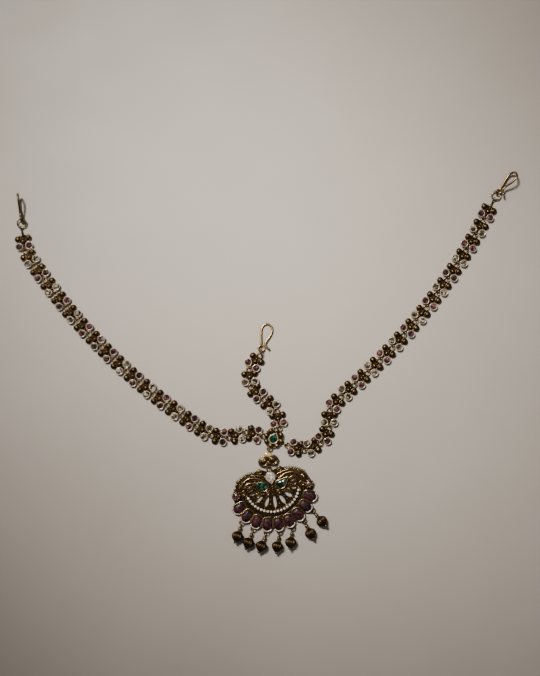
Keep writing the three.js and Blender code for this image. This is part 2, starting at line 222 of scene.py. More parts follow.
def resized(outline: Outline, size: float, z: float) -> Outline:
    """A copy of an outline, scaled about its middle and put at a height.

    Args:
        outline: The outline.
        size: Scale of the copy.
        z: Height of the copy.

    Returns:
        The copy, counterclockwise.
    """
    middle = sum(outline, Vector()) / len(outline)
    copy = [middle + (p - middle) * size for p in outline]
    area = sum(p.x * q.y - q.x * p.y for p, q in zip(copy, copy[1:] + copy[:1]))
    if area < 0.0:
        copy.reverse()
    return [Vector((p.x, p.y, z)) for p in copy]


@dataclass
class Metalwork:
    """Points and faces of one piece while it is made, in millimetres.

    Attributes:
        points: Its points.
        polish: For each point, how bright the gold is painted there: patina and wear, with painted shade at
            the foot of a form and a painted highlight at its top.
        faces: For each face, the numbers of its points.
        finishes: For each face, its finish.
        smooth: For each face, whether it is shaded smooth.
    """

    points: list[Vector] = field(default_factory=list)
    polish: list[float] = field(default_factory=list)
    faces: list[tuple[int, ...]] = field(default_factory=list)
    finishes: list[Finish] = field(default_factory=list)
    smooth: list[bool] = field(default_factory=list)

    def _points(self, points: list[Vector], shine: Shine) -> int:
        """Take points up, each as bright as its height says.

        Args:
            points: The points.
            shine: Brightness at the lowest and the highest of them.

        Returns:
            The number of the first one.
        """
        start = len(self.points)
        low = min(p.z for p in points)
        height = max(max(p.z for p in points) - low, 1e-6)
        self.points += points
        # Each point is painted lighter the higher it lies in its form: patina and wear, with painted shade at
        # the foot and a painted highlight at the top.
        self.polish += [shine[0] + (shine[1] - shine[0]) * (p.z - low) / height for p in points]
        return start

    def _face(self, corners: tuple[int, ...], finish: Finish, smooth: bool) -> None:
        """Take one face up.

        Args:
            corners: Numbers of its points.
            finish: Its finish.
            smooth: Whether it is shaded smooth.
        """
        self.faces.append(corners)
        self.finishes.append(finish)
        self.smooth.append(smooth)

    def skin(self, rows: list[Outline], shine: Shine, finish: Finish = Finish.GOLD,
             smooth: bool = True, ring: bool = False) -> None:
        """Faces over rows of points, each row a closed loop.

        Args:
            rows: The loops, all with as many points.
            shine: Brightness of the gold at its foot and its top.
            finish: Finish of the faces.
            smooth: Whether they are shaded smooth.
            ring: Whether the last loop joins the first, rather than both being closed over.
        """
        count = len(rows[0])
        start = self._points([p for row in rows for p in row], shine)
        for row in range(len(rows) if ring else len(rows) - 1):
            here = start + row * count
            there = start + ((row + 1) % len(rows)) * count
            for i in range(count):
                j = (i + 1) % count
                self._face((here + i, here + j, there + j, there + i), finish, smooth)
        if not ring:
            last = start + (len(rows) - 1) * count
            self._face(tuple(start + i for i in reversed(range(count))), finish, False)
            self._face(tuple(last + i for i in range(count)), finish, False)

    def wire(self, path: Outline, thickness: float, shine: Shine = RAISED, closed: bool = False,
             sides: int = 8, finish: Finish = Finish.GOLD, taper: float = 1.0) -> None:
        """A round wire along a path, with rounded ends.

        Args:
            path: Points along its middle.
            thickness: Its diameter.
            shine: Brightness of the gold at its foot and its top.
            closed: Whether it is a ring.
            sides: How many sides its section has.
            finish: Finish of its faces.
            taper: Thickness of its far end against its near end.
        """
        count = len(path)
        ahead = []
        for i in range(count):
            before = path[i - 1] if closed or i else path[0]
            after = path[(i + 1) % count] if closed or i + 1 < count else path[-1]
            ahead.append((after - before).normalized())
        across = ahead[0].orthogonal().normalized()
        if abs(ahead[0].z) < 0.9:
            across = ahead[0].cross(Vector((0.0, 0.0, 1.0))).normalized()
        rows = []
        for i, middle in enumerate(path):
            across = (across - ahead[i] * across.dot(ahead[i])).normalized()
            up = ahead[i].cross(across)
            radius = 0.5 * thickness * (1.0 + (taper - 1.0) * i / max(count - 1, 1))
            ends = [(0.0, 1.0)]
            if not closed and i == 0:
                ends = [(-0.9, 0.35), (-0.6, 0.8), (0.0, 1.0)]
            elif not closed and i == count - 1:
                ends = [(0.0, 1.0), (0.6, 0.8), (0.9, 0.35)]
            for along, size in ends:
                rows.append([
                    middle + ahead[i] * (along * radius)
                    + (across * math.cos(angle) + up * math.sin(angle)) * (radius * size)
                    for angle in (2.0 * math.pi * k / sides for k in range(sides))
                ])
        self.skin(rows, shine, finish, ring=closed)

    def ring(self, middle: Vector, radius: float, thickness: float, shine: Shine = RAISED,
             upright: float | None = None, steps: int = 20, sides: int = 8) -> None:
        """A ring of round wire, lying flat or standing up.

        Args:
            middle: Its middle.
            radius: From there to the middle of the wire.
            thickness: Thickness of the wire.
            shine: Brightness of the gold at its foot and its top.
            upright: Direction that a standing ring runs in, degrees, or nothing if it lies flat.
            steps: How many points go round it.
            sides: How many sides the wire's section has.
        """
        loop = circle(radius, steps=steps)
        if upright is not None:
            stand = turned(upright) @ turned(90.0, "X")
            loop = [stand @ p for p in loop]
        self.wire([middle + p for p in loop], thickness, shine, True, sides)

    def bead(self, middle: Vector, radius: float, shine: Shine = RAISED, finish: Finish = Finish.GOLD,
             steps: int = 12) -> None:
        """A round bead or granule.

        Args:
            middle: Its middle.
            radius: Its radius.
            shine: Brightness of the gold at its foot and its top.
            finish: Its finish.
            steps: How many points go round it.
        """
        rows = []
        bands = max(steps // 2, 4)
        for band in range(bands + 1):
            angle = math.pi * (0.04 + 0.92 * band / bands)
            z = middle.z - radius * math.cos(angle)
            rows.append([Vector((p.x, p.y, z))
                         for p in circle(radius * math.sin(angle), middle.x, middle.y, steps)])
        self.skin(rows, shine, finish)

    def loft(self, outline: Outline, levels: list[tuple[float, float]], shine: Shine,
             finish: Finish = Finish.GOLD, smooth: bool = True) -> None:
        """A body through copies of one outline.

        Args:
            outline: The outline.
            levels: Height and scale of each copy, from the foot up.
            shine: Brightness of the gold at its foot and its top.
            finish: Finish of its faces.
            smooth: Whether they are shaded smooth.
        """
        self.skin([resized(outline, size, z) for z, size in levels], shine, finish, smooth)

    def dome(self, outline: Outline, wall: float, top: float, shine: Shine = CAST,
             finish: Finish = Finish.GOLD, foot: float = 0.0, steps: int = 6) -> None:
        """A rounded dome on a straight wall.

        Args:
            outline: Its outline.
            wall: Height at which the dome begins.
            top: Its top.
            shine: Brightness of the gold at its foot and its top.
            finish: Finish of its faces.
            foot: Height of its foot.
            steps: How many bands the dome has.
        """
        levels = [(foot, 0.94), (foot + 0.25 * (wall - foot), 1.0)]
        for i in range(steps + 1):
            angle = 0.5 * math.pi * i / steps
            levels.append((wall + (top - wall) * math.sin(angle), max(math.cos(angle), 0.08)))
        self.loft(outline, levels, shine, finish)

    def cut_stone(self, outline: Outline, girdle: float, top: float, finish: Finish,
                  facets: int = 8, table: float = 0.52) -> None:
        """A cut stone: crown facets between its girdle and a flat table.

        Args:
            outline: Outline of its girdle.
            girdle: Height of the girdle.
            top: Height of the table.
            finish: Its glass.
            facets: How many sides the table has.
            table: Scale of the table against the girdle.
        """
        edge = resized(outline, 1.0, girdle)
        count = len(edge)

        def part_way(size: float, height: float, shift: float) -> Outline:
            """Points of a crown row.

            Args:
                size: Scale of the row against the girdle.
                height: How far up the crown it lies, from 0 to 1.
                shift: Where it starts, in facets.

            Returns:
                One point for each facet.
            """
            row = resized(outline, size, girdle + (top - girdle) * height)
            return [row[round(count * (i + shift) / facets) % count] for i in range(facets)]

        low = part_way(1.0, 0.0, 0.0) + part_way(1.0, 0.0, 0.5)
        belt = part_way(0.8, 0.55, 0.0)
        flat_top = part_way(table, 1.0, 0.5)
        start = self._points([p.copy() for p in low + belt + flat_top], (0.0, 1.0))
        main, half = start, start + facets
        mid, crown = start + 2 * facets, start + 3 * facets
        for i in range(facets):
            j = (i + 1) % facets
            self._face((main + i, half + i, mid + i), finish, False)
            self._face((half + i, main + j, mid + j), finish, False)
            self._face((half + i, mid + j, crown + i, mid + i), finish, False)
            self._face((mid + j, crown + j, crown + i), finish, False)
        self._face(tuple(crown + i for i in range(facets)), finish, False)
        rim = [index for i in range(facets) for index in (main + i, half + i)]
        foot = [Vector((self.points[i].x, self.points[i].y, girdle - 0.15)) for i in rim]
        base = self._points(foot, (0.0, 0.0))
        for i in range(len(rim)):
            j = (i + 1) % len(rim)
            self._face((base + i, base + j, rim[j], rim[i]), finish, False)
        self._face(tuple(base + i for i in reversed(range(len(rim)))), finish, False)

    def setting(self, outline: Outline, rim: float, thickness: float, foot: float = 0.0,
                shine: Shine = RIM, finish: Finish = Finish.GOLD) -> None:
        """A gold collet that holds a stone: a wall with a round rim.

        Args:
            outline: Its outline.
            rim: Height of the rim's middle.
            thickness: Thickness of the rim.
            foot: Height of its foot.
            shine: Brightness of the rim at its foot and its top.
            finish: Finish of the rim.
        """
        waist = foot + 0.35 * (rim - foot)
        self.loft(outline, [(foot, 0.9), (waist, 0.94), (rim, 0.97)], CAST)
        self.wire(resized(outline, 0.96, rim), thickness, shine, True, 8, finish)

    def plate(self, outline: Outline, holes: list[Outline], low: float, high: float,
              shine: Shine = HOLLOW) -> None:
        """A flat plate with openings.

        Args:
            outline: Its outline.
            holes: Outlines of the openings.
            low: Height of its underside.
            high: Height of its top.
            shine: Brightness of the gold at its foot and its top.
        """
        edges = [resized(outline, 1.0, 0.0)] + [resized(hole, 1.0, 0.0)[::-1] for hole in holes]
        corners = [p for edge in edges for p in edge]
        bottom = self._points([Vector((p.x, p.y, low)) for p in corners], (shine[0], shine[0]))
        top = self._points([Vector((p.x, p.y, high)) for p in corners], (shine[1], shine[1]))
        for a, b, c in tessellate_polygon(edges):
            up = (corners[b] - corners[a]).cross(corners[c] - corners[a]).z > 0.0
            a, c = (a, c) if up else (c, a)
            self._face((top + a, top + b, top + c), Finish.GOLD, False)
            self._face((bottom + c, bottom + b, bottom + a), Finish.GOLD, False)
        first = 0
        for edge in edges:
            count = len(edge)
            for i in range(count):
                a, b = first + i, first + (i + 1) % count
                self._face((bottom + a, bottom + b, top + b, top + a), Finish.GOLD, False)
            first += count

    def lathe(self, profile: list[tuple[float, float]], shine: Shine, ribs: int = 0, depth: float = 0.0,
              steps: int = 36, finish: Finish = Finish.GOLD) -> None:
        """A turned form along +X.

        Args:
            profile: Place along X and radius, from the near end to the far end.
            shine: Brightness of the gold at its foot and its top.
            ribs: How many ribs run along it.
            depth: Depth of the furrows between them, as a share of the radius.
            steps: How many points go round it.
            finish: Finish of its faces.
        """
        rows = []
        for x, radius in profile:
            row = []
            for i in range(steps):
                angle = 2.0 * math.pi * i / steps
                share = 1.0 - depth * (1.0 - abs(math.cos(0.5 * ribs * angle)))
                row.append(Vector((x, radius * share * math.cos(angle), radius * share * math.sin(angle))))
            rows.append(row)
        self.skin(rows, shine, finish)

    def add(self, other: Metalwork, place: Matrix) -> None:
        """Take a copy of other work up.

        Args:
            other: The work to copy.
            place: Where the copy goes.
        """
        start = len(self.points)
        self.points += [place @ p for p in other.points]
        self.polish += other.polish
        self.faces += [tuple(start + i for i in face) for face in other.faces]
        self.finishes += other.finishes
        self.smooth += other.smooth

    def piece(self, name: str, place: Matrix, node: str, slot: Slot) -> bpy.types.Object:
        """Make the work into a piece of the scene that stands for its solid.

        Args:
            name: Name of the piece.
            place: Where it goes, in millimetres.
            node: The solid that it stands for.
            slot: The record's material slot; not used.

        Returns:
            The new object.
        """
        mesh = bpy.data.meshes.new(name)
        mesh.from_pydata([(place @ p) * MM for p in self.points], [], self.faces)
        used = sorted(set(self.finishes), key=lambda finish: finish.value)
        for finish in used:
            mesh.materials.append(bpy.data.materials[MATERIALS[finish].name])
        mesh.polygons.foreach_set("material_index", [used.index(finish) for finish in self.finishes])
        mesh.polygons.foreach_set("use_smooth", self.smooth)
        polish = mesh.attributes.new("polish", "FLOAT", "POINT")
        polish.data.foreach_set("value", self.polish)
        mesh.update()
        piece = bpy.data.objects.new(name, mesh)
        bpy.context.scene.collection.objects.link(piece)
        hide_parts(node)
        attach(piece, "root")
        log.info("%s: %d faces for %s", name, len(self.faces), node)
        return piece


@dataclass
class NodeBench:
    """A material's nodes while they are laid out."""

    material: bpy.types.Material

    @classmethod
    def new(cls, name: str) -> NodeBench:
        """A bench with a fresh material.

        Args:
            name: Name of the material.

        Returns:
            The bench.
        """
        material = bpy.data.materials.new(name)
        material.use_nodes = True
        return cls(material)

    @property
    def shader(self) -> bpy.types.Node:
        """The material's surface shader."""
        return self.material.node_tree.nodes["Principled BSDF"]

    def node(self, kind: str, **values: object) -> bpy.types.Node:
        """A new node.

        Args:
            kind: Its type.
            **values: Attributes of the node.

        Returns:
            The node.
        """
        node = self.material.node_tree.nodes.new(kind)
        for key, value in values.items():
            setattr(node, key, value)
        return node

    def link(self, start: bpy.types.NodeSocket, end: bpy.types.NodeSocket) -> None:
        """Join an output to an input."""
        self.material.node_tree.links.new(start, end)

    def noise(self, scale: float, detail: float = 3.0) -> bpy.types.NodeSocket:
        """Cloudy variation over the surface.

        Args:
            scale: How many clouds there are to a metre.
            detail: How much finer structure they have.

        Returns:
            The output, from 0 to 1.
        """
        place = self.node("ShaderNodeTexCoord")
        noise = self.node("ShaderNodeTexNoise")
        noise.inputs["Scale"].default_value = scale
        noise.inputs["Detail"].default_value = detail
        self.link(place.outputs["Object"], noise.inputs["Vector"])
        return noise.outputs["Fac"]

    def sum(self, a: bpy.types.NodeSocket, b: bpy.types.NodeSocket, share: float,
            offset: float) -> bpy.types.NodeSocket:
        """The value a + share x b + offset, kept between 0 and 1.

        Args:
            a: First value.
            b: Second value.
            share: How much of the second value is added.
            offset: What is added besides.

        Returns:
            The output.
        """
        scaled = self.node("ShaderNodeMath", operation="MULTIPLY_ADD")
        self.link(b, scaled.inputs[0])
        scaled.inputs[1].default_value = share
        scaled.inputs[2].default_value = offset
        total = self.node("ShaderNodeMath", operation="ADD", use_clamp=True)
        self.link(a, total.inputs[0])
        self.link(scaled.outputs[0], total.inputs[1])
        return total.outputs[0]

    def ramp(self, value: bpy.types.NodeSocket, stops: list[tuple[float, Colour]]) -> bpy.types.NodeSocket:
        """Colours along a value.

        Args:
            value: The value, from 0 to 1.
            stops: Place and colour of each stop.

        Returns:
            The colour output.
        """
        ramp = self.node("ShaderNodeValToRGB")
        elements = ramp.color_ramp.elements
        while len(elements) < len(stops):
            elements.new(0.5)
        for element, (place, colour) in zip(elements, stops):
            element.position = place
            element.color = (*colour, 1.0)
        self.link(value, ramp.inputs["Fac"])
        return ramp.outputs["Color"]

    def between(self, value: bpy.types.NodeSocket, low: float, high: float) -> bpy.types.NodeSocket:
        """A value from 0 to 1 carried over to a range.

        Args:
            value: The value.
            low: Where 0 goes.
            high: Where 1 goes.

        Returns:
            The output.
        """
        span = self.node("ShaderNodeMapRange")
        span.inputs["To Min"].default_value = low
        span.inputs["To Max"].default_value = high
        self.link(value, span.inputs["Value"])
        return span.outputs["Result"]

    def bump(self, height: bpy.types.NodeSocket, strength: float, distance: float) -> None:
        """Fine relief of the surface.

        Args:
            height: Its height, from 0 to 1.
            strength: How strong it is.
            distance: How deep it is, in metres.
        """
        bump = self.node("ShaderNodeBump")
        bump.inputs["Strength"].default_value = strength
        bump.inputs["Distance"].default_value = distance
        self.link(height, bump.inputs["Height"])
        self.link(bump.outputs["Normal"], self.shader.inputs["Normal"])


@dataclass(frozen=True)
class AntiqueGold:
    """Gilded cast metal with dark patina and painted shade in its hollows, rubbed bright on its edges, and a
    painted highlight on the top of each form.
    """

    name: str = "patinated_gold"
    # Ramp stops from the foot of a form to its top: patina in painted shade, warm gilt, and rubbed gilt with
    # a painted highlight.
    patina: Colour = (0.016, 0.0085, 0.004)
    warm: Colour = (0.066, 0.041, 0.020)
    bright: Colour = (0.46, 0.315, 0.14)
    rough_hollow: float = 0.55
    rough_top: float = 0.24

    def make(self) -> None:
        """Make the material."""
        bench = NodeBench.new(self.name)
        polish = bench.node("ShaderNodeAttribute", attribute_name="polish")
        # Painted shade and highlight from the points' brightness, with cloudy wear over it.
        wear_and_light_level = bench.sum(polish.outputs["Fac"], bench.noise(900.0), 0.5, -0.25)
        wear_and_light_level = bench.sum(wear_and_light_level, bench.noise(140.0), 0.3, -0.15)
        stops = [(0.0, self.patina), (0.5, self.warm), (1.0, self.bright)]
        bench.link(bench.ramp(wear_and_light_level, stops), bench.shader.inputs["Base Color"])
        rough = bench.between(wear_and_light_level, self.rough_hollow, self.rough_top)
        bench.link(rough, bench.shader.inputs["Roughness"])
        bench.shader.inputs["Metallic"].default_value = 1.0
        bench.bump(bench.noise(2600.0, 4.0), 0.25, 0.00008)


@dataclass(frozen=True)
class FoiledGlass:
    """Cut glass on a foil, with darker and lighter patches where facets of its back show: painted
    reflections, the lightest of them painted glints.
    """

    name: str
    # Colours of the painted reflections: the dark patches, the stone's own body colour between them, and the
    # painted glints.
    deep: Colour
    body: Colour
    painted_glint: Colour
    metal: float = 0.0
    coat: float = 1.0
    bend: float = 1.7
    rough: tuple[float, float] = (0.05, 0.18)
    patches: float = 900.0

    def make(self) -> None:
        """Make the material."""
        bench = NodeBench.new(self.name)
        place = bench.node("ShaderNodeTexCoord")
        cells = bench.node("ShaderNodeTexVoronoi")
        cells.inputs["Scale"].default_value = self.patches
        bench.link(place.outputs["Object"], cells.inputs["Vector"])
        tone = bench.node("ShaderNodeSeparateColor")
        bench.link(cells.outputs["Color"], tone.inputs["Color"])
        # Painted reflections: cells of darker and lighter tone across the stone.
        mixed = bench.sum(tone.outputs["Red"], bench.noise(500.0), 0.5, -0.25)
        stops = [(0.1, self.deep), (0.6, self.body), (1.0, self.painted_glint)]
        bench.link(bench.ramp(mixed, stops), bench.shader.inputs["Base Color"])
        bench.link(bench.between(bench.noise(300.0), *self.rough), bench.shader.inputs["Roughness"])
        bench.shader.inputs["Metallic"].default_value = self.metal
        bench.shader.inputs["IOR"].default_value = self.bend
        bench.shader.inputs["Coat Weight"].default_value = self.coat
        bench.shader.inputs["Coat Roughness"].default_value = 0.06


@dataclass(frozen=True)
class PearlGilt:
    """Pale gilt beads, rubbed bright, with a trace of patina, painted darker at the foot of each form and
    lighter at its top as painted shade and a painted highlight.
    """

    name: str = "pearl_gilt"
    shade: Colour = (0.42, 0.32, 0.19)
    light: Colour = (0.88, 0.79, 0.62)

    def make(self) -> None:
        """Make the material."""
        bench = NodeBench.new(self.name)
        polish = bench.node("ShaderNodeAttribute", attribute_name="polish")
        # Painted shade and highlight from the points' brightness, with cloudy wear over it.
        wear_and_light_level = bench.sum(polish.outputs["Fac"], bench.noise(1100.0), 0.3, -0.15)
        stops = [(0.0, self.shade), (0.65, self.light), (1.0, self.light)]
        bench.link(bench.ramp(wear_and_light_level, stops), bench.shader.inputs["Base Color"])
        bench.link(bench.between(bench.noise(700.0), 0.18, 0.32), bench.shader.inputs["Roughness"])
        bench.shader.inputs["Metallic"].default_value = 0.35
        bench.shader.inputs["Coat Weight"].default_value = 0.6
        bench.bump(bench.noise(2200.0), 0.1, 0.00005)


@dataclass(frozen=True)
class TableTop:
    """Pale painted board, a little cloudy and faintly glossy."""

    name: str = "pale_table"
    shade: Colour = (0.472, 0.418, 0.362)
    light: Colour = (0.517, 0.461, 0.404)

    def make(self) -> None:
        """Make the material."""
        bench = NodeBench.new(self.name)
        clouds = bench.sum(bench.noise(9.0, 4.0), bench.noise(60.0, 2.0), 0.2, -0.1)
        stops = [(0.3, self.shade), (0.7, self.light)]
        bench.link(bench.ramp(clouds, stops), bench.shader.inputs["Base Color"])
        bench.link(bench.between(bench.noise(40.0), 0.42, 0.55), bench.shader.inputs["Roughness"])
        bench.bump(bench.noise(700.0, 2.0), 0.06, 0.0001)


MATERIALS: dict[Finish, AntiqueGold | FoiledGlass | PearlGilt] = {
    Finish.GOLD: AntiqueGold(),
    Finish.RUBY: FoiledGlass(
        "ruby_glass", (0.009, 0.004, 0.005), (0.027, 0.010, 0.013), (0.085, 0.017, 0.027),
        coat=0.05, bend=1.25, rough=(0.3, 0.5)),
    Finish.PINK: FoiledGlass(
        "pink_glass", (0.010, 0.004, 0.005), (0.042, 0.014, 0.018), (0.22, 0.09, 0.10), coat=0.7),
    Finish.CLEAR: FoiledGlass(
        "clear_glass", (0.03, 0.021, 0.011), (0.15, 0.115, 0.07), (0.85, 0.78, 0.64), metal=0.35),
    Finish.GREEN: FoiledGlass(
        "green_glass", (0.001, 0.007, 0.003), (0.003, 0.030, 0.014), (0.02, 0.12, 0.06), coat=0.6),
    # Pale gilt beads; the same pale gilt paints the highlight at the outer ends of the ruby petals.
    Finish.PEARL_AND_HIGHLIGHT: PearlGilt(),
    # The clear drop: its near-white body and light patches are painted reflections of its foil.
    Finish.CRYSTAL: FoiledGlass(
        "bright_crystal", (0.30, 0.27, 0.21), (0.78, 0.75, 0.68), (1.0, 0.98, 0.92)),
    # Rims of the stone settings: rubbed pale gilt with a painted highlight along their tops.
    Finish.WORN_AND_HIGHLIT: PearlGilt("worn_rim", (0.085, 0.058, 0.034), (0.52, 0.43, 0.31)),
    Finish.BRIGHT: PearlGilt("bright_gilt", (0.34, 0.23, 0.07), (0.82, 0.64, 0.27)),
}


@dataclass
class FlowerLink:
    """A flower link: two drop stones in a V, two domed petals, a granule and an eye at each end.

    Its +X runs towards the junction, and its origin lies on the table under its middle.
    """

    glass: Finish
    is_last: bool = False
    pitch: float = 8.4
    reach: float = 5.15
    stone_tip: tuple[float, float] = (3.2, 0.5)
    stone_length: float = 3.7
    stone_radius: float = 1.72
    stone_lean: float = 105.0
    stone_girdle: float = 1.75
    stone_top: float = 2.45
    rim_wire: float = 0.4
    petal_at: tuple[float, float] = (-1.15, 2.5)
    petal_radius: float = 1.42
    petal_top: float = 1.95
    granule: float = 0.8
    seed: float = 0.42
    wire: float = RING_WIRE
    ring_radius: float = RING_RADIUS
    ring_height: float = RING_HEIGHT
    eye_radius: float = EYE_RADIUS
    eye_wire: float = EYE_WIRE
    end_eye_out: float = END_EYE_OUT

    def build(self) -> Metalwork:
        """Make the link.

        Returns:
            The finished work.
        """
        work = Metalwork()
        spine = curve(flat([(-2.3, -0.9), (-1.2, -1.7), (1.4, -1.5), (3.2, -0.8), (3.2, 0.8),
                            (1.4, 1.5), (-1.2, 1.7), (-2.3, 0.9)]), 3, True)
        work.loft(spine, [(0.2, 0.85), (0.45, 1.0), (0.8, 0.95), (1.15, 0.7)], HOLLOW)
        for side in (1, -1):
            self._stone(work, side)
            self._petal(work, side)
        work.bead(Vector((0.45, 0.0, 1.85)), self.granule, RAISED, steps=16)
        for x, y, size in ((-1.0, 0.0, 1.1), (0.6, 1.75, 1.1), (0.6, -1.75, 1.1), (1.95, 0.0, 0.9),
                           (-2.3, 1.15, 1.2), (-2.3, -1.15, 1.2)):
            work.bead(Vector((x, y, 1.3)), self.seed * size, RAISED)
        self._eyes(work)
        return work

    def _stone(self, work: Metalwork, side: int) -> None:
        """Add a drop stone in its collet.

        Args:
            work: The link so far.
            side: 1 or -1.
        """
        tip = Vector((self.stone_tip[0], self.stone_tip[1] * side, 0.0))
        outline = teardrop(tip, self.stone_length, self.stone_radius, self.stone_lean * side)
        work.setting(outline, self.stone_girdle, self.rim_wire, finish=Finish.WORN_AND_HIGHLIT)
        work.cut_stone(resized(outline, 0.86, 0.0), self.stone_girdle + 0.05, self.stone_top, self.glass)

    def _petal(self, work: Metalwork, side: int) -> None:
        """Add a domed petal with a wire round its foot.

        Args:
            work: The link so far.
            side: 1 or -1.
        """
        x, y = self.petal_at
        outline = circle(self.petal_radius, x, y * side)
        work.dome(outline, 1.0, self.petal_top, (0.0, 0.5))
        work.wire(resized(outline, 0.98, 1.05), 0.34, RAISED, True)

    def _eyes(self, work: Metalwork) -> None:
        """Add the standing front eye and the rear eye.

        Args:
            work: The link so far.
        """
        front = Vector((self.reach - self.ring_radius, 0.0, self.ring_height))
        work.ring(front, self.eye_radius, self.eye_wire, RAISED, upright=0.0)
        if self.is_last:
            rear = Vector((-self.end_eye_out, 0.0, self.ring_height))
            work.ring(rear, self.eye_radius, self.eye_wire, RAISED, upright=0.0)
            neck = [rear + Vector((self.eye_radius, 0.0, 0.0)), Vector((-1.6, 0.0, self.ring_height))]
            work.wire(neck, 0.8, CAST)
        else:
            middle = Vector((self.reach - self.pitch, 0.0, self.ring_height))
            work.ring(middle, self.ring_radius, self.wire, RAISED, steps=RING_STEPS)


@dataclass
class JunctionFlower:
    """The flower where the strands meet: a green drop in a ring of petals, and four eyes."""

    left: float = 168.0
    right: float = -28.0
    middle: float = 60.0
    down: float = 249.0
    petals: int = 8
    petal_circle: float = 3.75
    petal_radius: float = 1.15
    lean: float = 64.0
    stone_length: float = 5.5
    stone_radius: float = 2.2
    ring_at: float = JUNCTION_RING_AT
    loose_ring_at: float = LOOSE_RING_AT
    ring_radius: float = RING_RADIUS
    ring_height: float = RING_HEIGHT
    wire: float = RING_WIRE
    eye_radius: float = EYE_RADIUS
    eye_wire: float = EYE_WIRE

    def build(self) -> Metalwork:
        """Make the junction flower.

        Returns:
            The finished work.
        """
        work = Metalwork()
        work.loft(circle(3.7, steps=32), [(0.1, 0.9), (0.35, 1.0), (1.1, 1.0), (1.3, 0.9)], HOLLOW)
        for i in range(self.petals):
            turn = 360.0 / self.petals
            at = polar(self.petal_circle, turn * (i + 0.5))
            outline = circle(self.petal_radius, at.x, at.y)
            work.dome(outline, 1.4, 2.3, (0.0, 0.7))
            work.wire(resized(outline, 0.96, 1.5), 0.3, RAISED, True)
            work.bead(at + Vector((0.0, 0.0, 2.3)), 0.36, RIM)
            notch = polar(self.petal_circle + 0.75, turn * i)
            work.bead(notch + Vector((0.0, 0.0, 1.2)), 0.42, RAISED)
        outline = teardrop(polar(2.9, self.lean), self.stone_length, self.stone_radius, self.lean + 180.0, 28)
        work.setting(outline, 2.25, 0.46, shine=POLISHED_AND_HIGHLIT, finish=Finish.WORN_AND_HIGHLIT)
        work.cut_stone(resized(outline, 0.84, 0.0), 2.25, 3.05, Finish.GREEN)
        for heading in (self.left, self.middle, self.down):
            at = polar(self.ring_at, heading)
            at.z = self.ring_height
            work.ring(at, self.ring_radius, self.wire, RAISED, steps=RING_STEPS)
        eye = polar(self.loose_ring_at - self.ring_radius, self.right)
        eye.z = self.ring_height
        work.ring(eye, self.eye_radius, self.eye_wire, RAISED, upright=self.right)
        return work


@dataclass
class Bail:
    """The bail: two ribbed lobes with three granules, a barrel across its top and an eye at each end.

    Its frame is the pendant's, with the origin under its own middle.
    """

    at: tuple[float, float] = (0.3, 11.9)
    away: float = 249.0 - 9.8
    barrel_length: float = 3.1
    barrel_height: float = 2.1
    ring_height: float = RING_HEIGHT
    eye_radius: float = EYE_RADIUS
    eye_wire: float = EYE_WIRE

    def build(self, upper: Vector, lower: Vector) -> Metalwork:
        """Make the bail.

        Args:
            upper: The junction's ring wire that its upper eye closes on.
            lower: The pendant's ring wire that its lower eye closes on.

        Returns:
            The finished work.
        """
        work = Metalwork()
        for side in (1, -1):
            self._lobe(work, side)
        for x, y in ((1.6, -0.3), (-1.6, -0.3), (0.0, -1.4)):
            work.bead(Vector((x, y, 3.15)), 0.72, RIM, steps=14)
        work.bead(Vector((0.0, -0.15, 3.05)), 0.5, finish=Finish.RUBY)
        self._barrel(work, upper)
        upright = Vector((0.0, 0.0, self.ring_height))
        work.ring(lower + upright, self.eye_radius, self.eye_wire, RAISED, upright=90.0)
        for x in (-0.55, 0.55):
            bar = [lower + Vector((x, 0.7, 1.6)), Vector((lower.x + x, -2.0, 1.7))]
            work.wire(bar, 0.5, RAISED)
        return work

    def _lobe(self, work: Metalwork, side: int) -> None:
        """Add a domed lobe with ribs along it.

        Args:
            work: The bail so far.
            side: 1 or -1.
        """
        corners = [(-0.2, -1.2), (1.2, -2.5), (3.0, -2.7), (4.5, -1.6), (4.7, 0.1), (3.6, 1.7),
                   (1.8, 2.2), (-0.2, 1.7)]
        outline = [p + Vector((0.0, -0.5, 0.0)) for p in curve(flat(corners, side), 4, True)]
        work.dome(outline, 1.4, 3.3, (0.0, 0.45), steps=8)
        for size, z, thickness in ((0.98, 1.5, 0.42), (0.84, 2.45, 0.36), (0.62, 3.0, 0.32)):
            work.wire(resized(outline, size, z), thickness, RIM, True)

    def _barrel(self, work: Metalwork, upper: Vector) -> None:
        """Add the polished barrel and the eye beyond it.

        Args:
            work: The bail so far.
            upper: The junction's ring wire that the eye closes on.
        """
        seat = upper + polar(1.65, self.away)
        half = 0.5 * self.barrel_length
        profile = [(-half, 0.6), (-half, 0.95), (-half + 0.15, 1.1), (-half + 0.35, 1.2), (0.0, 1.26),
                   (half - 0.35, 1.2), (half - 0.15, 1.1), (half, 0.95), (half, 0.6)]
        barrel = Metalwork()
        barrel.lathe(profile, (0.9, 1.2), steps=28, finish=Finish.BRIGHT)
        place = Matrix.Translation(seat + Vector((0.0, 0.0, self.barrel_height)))
        work.add(barrel, place @ turned(self.away + 90.0))
        height = Vector((0.0, 0.0, self.ring_height))
        work.ring(upper + height, self.eye_radius, self.eye_wire, RAISED, upright=self.away)


